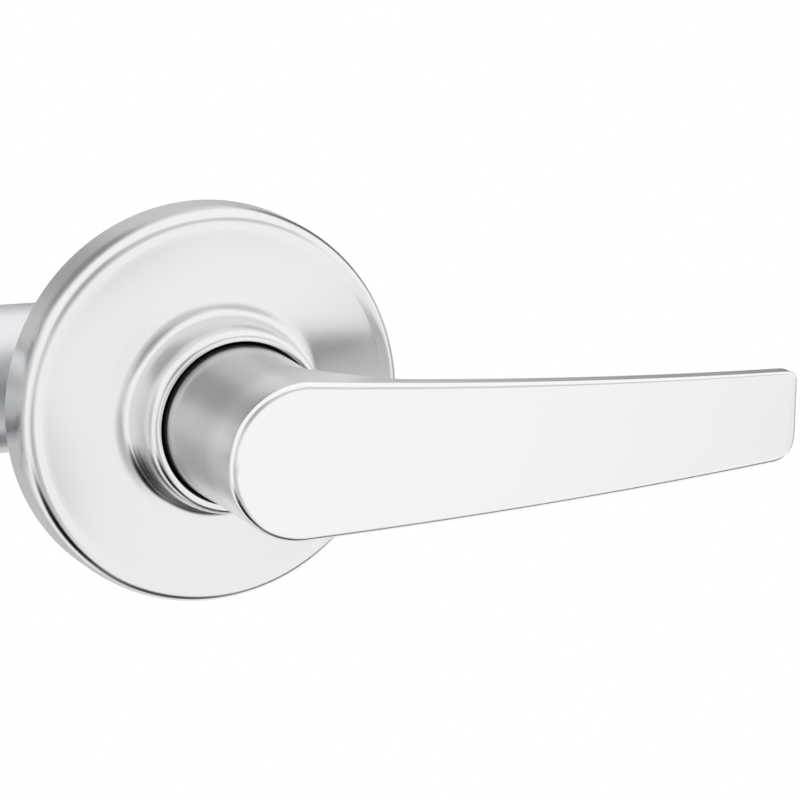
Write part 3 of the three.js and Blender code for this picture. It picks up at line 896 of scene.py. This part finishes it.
def make_camera():
    """The photo's camera. Its far clip stands in for the door leaf, which hides the inside trim.

    The photo shows the trim that faces the camera and nothing behind it. Without a door the inside
    trim would show past the rose, so this one view ends just behind the outside rose.
    """
    azimuth, elevation = math.radians(VIEW_AZIMUTH), math.radians(VIEW_ELEVATION)
    back = Vector((math.sin(azimuth) * math.cos(elevation), -math.cos(azimuth) * math.cos(elevation),
                   math.sin(elevation)))
    middle = (LEVER_HIGH.x + ROSE_LOW.x) / 2
    place = Vector((middle, -DOOR_FACE, 0)) + AIM_SHIFT + back * VIEW_DISTANCE
    data = bpy.data.cameras.new("camera")
    camera = bpy.data.objects.new("camera", data)
    bpy.context.scene.collection.objects.link(camera)
    data.sensor_width = SENSOR_WIDTH
    data.lens = LENS
    data.clip_start = NEAR_CLIP
    data.clip_end = door_distance(place, back)
    camera.location = place
    roll = Matrix.Rotation(math.radians(VIEW_ROLL), 3, "Z").to_quaternion()
    camera.rotation_mode = "QUATERNION"
    camera.rotation_quaternion = (-back).to_track_quat("-Z", "Y") @ roll
    bpy.context.scene.camera = camera


def door_distance(place, back):
    """Half way from the far side of the outside rose to the near side of the inside rose."""
    inside_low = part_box("inside_rose")[0]
    turns = [2 * math.pi * k / RIM_STEPS for k in range(RIM_STEPS)]
    rim = [(ROSE_HIGH.x * math.cos(turn), ROSE_HIGH.x * math.sin(turn)) for turn in turns]
    far_rim = max((place - Vector((x, ROSE_HIGH.y, z))).dot(back) for x, z in rim)
    near_inside = min((place - Vector((x, inside_low.y, z))).dot(back) for x, z in rim)
    return (far_rim + near_inside) / 2


def darkened(nodes, light, direction, towards, inner, outer, level):
    """Turns the light down to level within inner degrees of a direction, fading out at outer."""
    aim = nodes.add("VectorMath", {"operation": "DOT_PRODUCT"}, i0=direction,
                    i1=Vector(towards).normalized()).outputs["Value"]
    fade = nodes.add("MapRange", {"interpolation_type": "SMOOTHSTEP"}, Value=aim,
                     i1=math.cos(math.radians(outer)), i2=math.cos(math.radians(inner)),
                     i3=1.0, i4=level).outputs[0]
    return nodes.math("MULTIPLY", light, fade)


def make_world():
    """A white studio with soft dark flags; the camera itself sees plain white."""
    world = bpy.data.worlds.new("studio")
    bpy.context.scene.world = world
    world.use_nodes = True
    nodes = Nodes(world.node_tree)
    direction = nodes.add("TexCoord").outputs["Generated"]
    light = WHITE
    for towards, inner, outer, level in FLAGS:
        light = darkened(nodes, light, direction, towards, inner, outer, level)
    seen = nodes.add("LightPath").outputs["Is Camera Ray"]
    strength = nodes.add("Mix", i0=seen, i2=light, i3=1.0).outputs[0]
    background = nodes.add("Background", Color=(1, 1, 1, 1), Strength=strength)
    nodes.add("OutputWorld", Surface=background.outputs[0])


def make_floor():
    """A pale floor that a lever hanging straight down clears; the metal doesn't mirror it."""
    level, half = -(LEVER_HIGH.x + 0.02), 3.0
    corners = [(-half, -half, level), (half, -half, level), (half, half, level), (-half, half, level)]
    mesh = bpy.data.meshes.new("floor")
    mesh.from_pydata(corners, [], [(0, 1, 2, 3)])
    floor = bpy.data.objects.new("floor", mesh)
    bpy.context.scene.collection.objects.link(floor)
    material = bpy.data.materials.new("floor")
    material.use_nodes = True
    nodes = Nodes(material.node_tree)
    mottle = nodes.add("TexNoise", Vector=nodes.add("TexCoord").outputs["Object"], Scale=4.0).outputs[0]
    colour = nodes.add("Mix", {"data_type": "RGBA"}, i0=mottle, i6=(0.86, 0.86, 0.86, 1),
                       i7=(0.90, 0.90, 0.90, 1)).outputs[2]
    shader = nodes.add("BsdfPrincipled", Base_Color=colour, Roughness=0.8)
    nodes.add("OutputMaterial", Surface=shader.outputs[0])
    mesh.materials.append(material)
    floor.visible_glossy = False


def build():
    upper_low, upper_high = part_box("mounting_post_upper")
    post_height = (upper_low.z + upper_high.z) / 2
    for side in SIDES:
        rose(side)
        neck_bushing(side)
        mounting_plate(side, post_height)
        lever(side)
        drive_sleeve(side)
    for label, height in (("upper", post_height), ("lower", -post_height)):
        mounting_post(label, height)
        through_screw(label, height)
        faceplate_screw(label)
    spindle()
    latch_plate("faceplate", "latch_faceplate", corner=6.35, sink=4.3, material=SATIN_ALONG,
                slot="satin_chrome")
    latch_plate("backplate", "latch_backplate", corner=5.9, sink=2.4, material=ZINC_PLATE,
                slot="zinc_plate")
    latch_case()
    latch_bolt()
    latch_tail()
    latch_hub()
    latch_spring()
    hidden_mechanism()


make_camera()
make_world()
make_floor()
build()
bpy.context.scene.view_settings.view_transform = "Standard"
